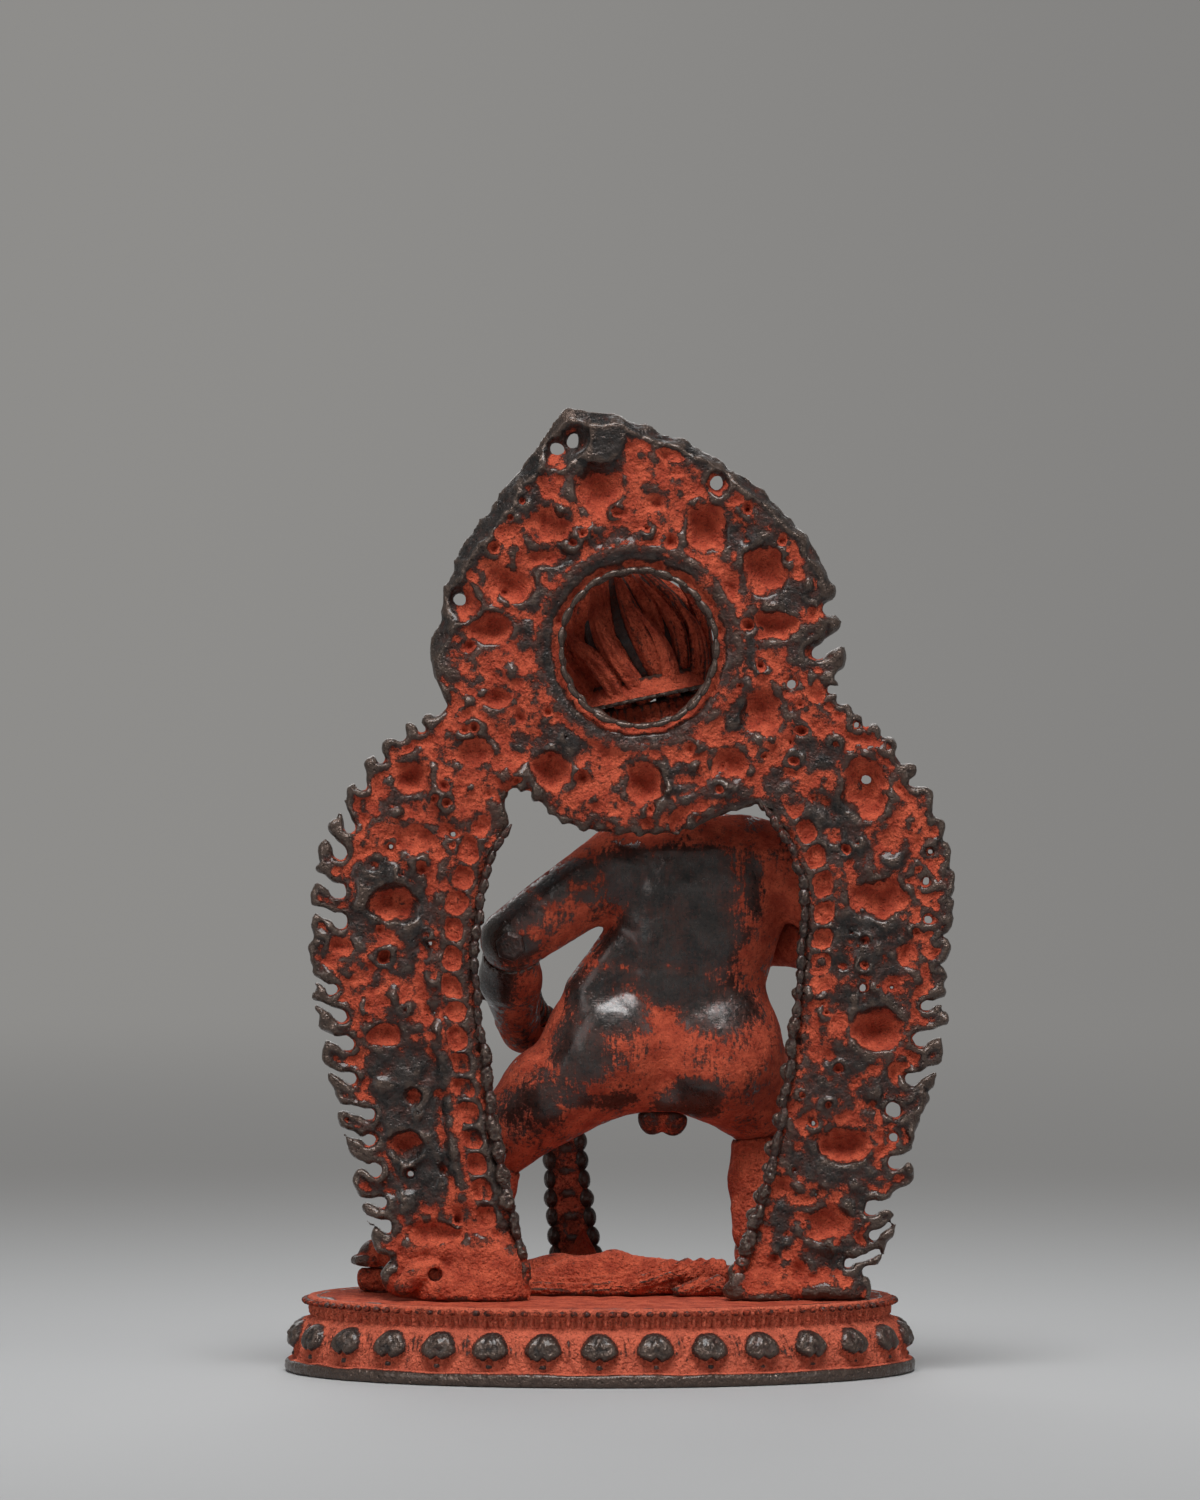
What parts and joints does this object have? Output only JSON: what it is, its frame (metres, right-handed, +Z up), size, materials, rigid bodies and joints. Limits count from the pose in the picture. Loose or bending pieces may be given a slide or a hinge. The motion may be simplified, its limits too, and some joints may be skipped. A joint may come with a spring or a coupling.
{
  "type": "deity statue",
  "caption": "Small cast statue: a stout deity with cup and mongoose stands on an oval lotus pedestal before a pierced flame aureole that lifts off.",
  "frame": {"origin": "middle of the underside of the oval pedestal", "axes": "+Z up, -Y towards the figure's front, +X towards the figure's left"},
  "size_m": [0.0763, 0.049, 0.1102],
  "materials": {
    "pigmented_bronze": "dark cast bronze rubbed with dry vermilion pigment, matte in the hollows",
    "dark_bronze": "dark patina, worn to a soft shine on the high spots",
    "copper_sheet": "dull beaten sheet",
    "scroll_paper": "rough hand-made paper"
  },
  "bodies": {
    "statue": {"lotus_base": "pigmented_bronze", "base_plate": "copper_sheet", "prayer_roll": "scroll_paper", "trampled_figure": "pigmented_bronze", "jewel_stream": "pigmented_bronze", "jewel_bud": "pigmented_bronze", "torso": "dark_bronze", "left_forearm": "dark_bronze", "right_forearm": "dark_bronze", "left_elbow_rivet": "dark_bronze", "right_elbow_rivet": "dark_bronze", "loin_knot": "pigmented_bronze", "left_shin": "pigmented_bronze", "right_shin": "pigmented_bronze", "left_foot": "pigmented_bronze", "right_foot": "pigmented_bronze", "necklace": "dark_bronze", "skull_cup": "dark_bronze", "mongoose": "dark_bronze", "head": "pigmented_bronze", "crown": "dark_bronze", "flame_hair": "pigmented_bronze", "left_earring": "dark_bronze", "right_earring": "dark_bronze"},
    "aureole": {"aureole": "pigmented_bronze"}
  },
  "joints": [
    {"name": "aureole_lift", "type": "slide", "parent": "statue", "child": "aureole", "axis": [0, 0, 1], "range_m": [0, 0.008]}
  ]
}
